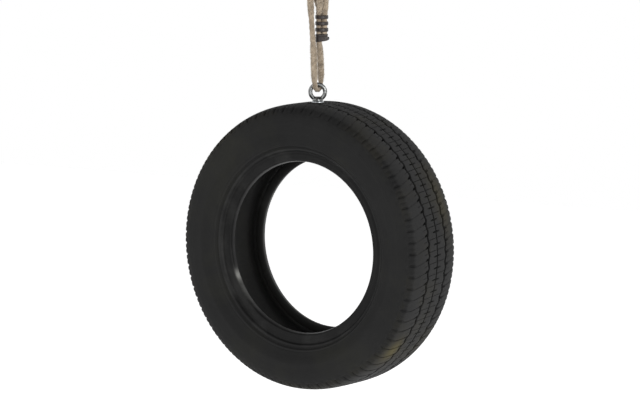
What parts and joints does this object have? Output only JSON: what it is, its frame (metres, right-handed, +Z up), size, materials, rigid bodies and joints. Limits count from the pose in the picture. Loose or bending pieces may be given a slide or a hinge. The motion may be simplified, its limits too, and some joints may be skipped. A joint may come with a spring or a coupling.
{
  "type": "tire swing",
  "caption": "Upright car tyre hung by an eye nut from a doubled rope with a moulded length clamp, on a ring and swivel hanger that screws under a beam.",
  "frame": {"origin": "in the hanger's mounting face, over the swivel's axis", "axes": "+Z up, the tyre's axis along Y with the front sidewall towards -Y, +X to the right seen from the front"},
  "size_m": [0.547, 0.158, 0.897],
  "materials": {
    "tyre_rubber": "matte weathered rubber",
    "liner_rubber": "smooth black rubber",
    "belt_cord": "brass-coated steel cord in rubber",
    "ply_cord": "rubbered polyester cord",
    "bead_wire": "bronze-coated wire bundle",
    "zinc_steel": "bright zinc plate",
    "forged_steel": "galvanised forging",
    "nylon": "natural nylon",
    "clamp_plastic": "dark brown moulded plastic",
    "hemp_rope": "fuzzy hemp-look polypropylene"
  },
  "bodies": {
    "hanger": {"mounting_plate": "zinc_steel", "swivel_bush": "nylon"},
    "swivel": {"swivel_clevis": "forged_steel", "swivel_washer": "zinc_steel", "swivel_nut": "zinc_steel", "clevis_bolt": "zinc_steel", "clevis_washers": "zinc_steel", "clevis_nut": "zinc_steel"},
    "ring": {"hanging_ring": "zinc_steel"},
    "rope": {"rope": "hemp_rope", "rope_clamp": "clamp_plastic", "clamp_screws": "zinc_steel"},
    "tyre": {"eye_nut": "zinc_steel", "tread_washer": "zinc_steel", "eye_bolt": "zinc_steel", "lock_washer": "zinc_steel", "spreader_washer": "zinc_steel", "tread": "tyre_rubber", "upper_belt": "belt_cord", "lower_belt": "belt_cord", "carcass_ply": "ply_cord", "inner_liner": "liner_rubber", "front_sidewall": "tyre_rubber", "rear_sidewall": "tyre_rubber", "front_bead_core": "bead_wire", "rear_bead_core": "bead_wire", "front_bead_filler": "liner_rubber", "rear_bead_filler": "liner_rubber", "front_chafer": "tyre_rubber", "rear_chafer": "tyre_rubber"}
  },
  "joints": [
    {"name": "swivel_turn", "type": "hinge", "parent": "hanger", "child": "swivel", "pos_m": [0, 0, -0.028], "axis": [0, 0, 1], "continuous": true},
    {"name": "ring_swing", "type": "hinge", "parent": "swivel", "child": "ring", "pos_m": [0, 0, -0.0643], "axis": [0, 1, 0], "range_deg": [-50, 50]},
    {"name": "rope_swing", "type": "hinge", "parent": "ring", "child": "rope", "pos_m": [0, 0, -0.108], "axis": [1, 0, 0], "range_deg": [-60, 60]},
    {"name": "tyre_tilt", "type": "hinge", "parent": "rope", "child": "tyre", "pos_m": [0, 0, -0.3166], "axis": [0.8191, 0.5736, 0], "range_deg": [-45, 45]}
  ]
}
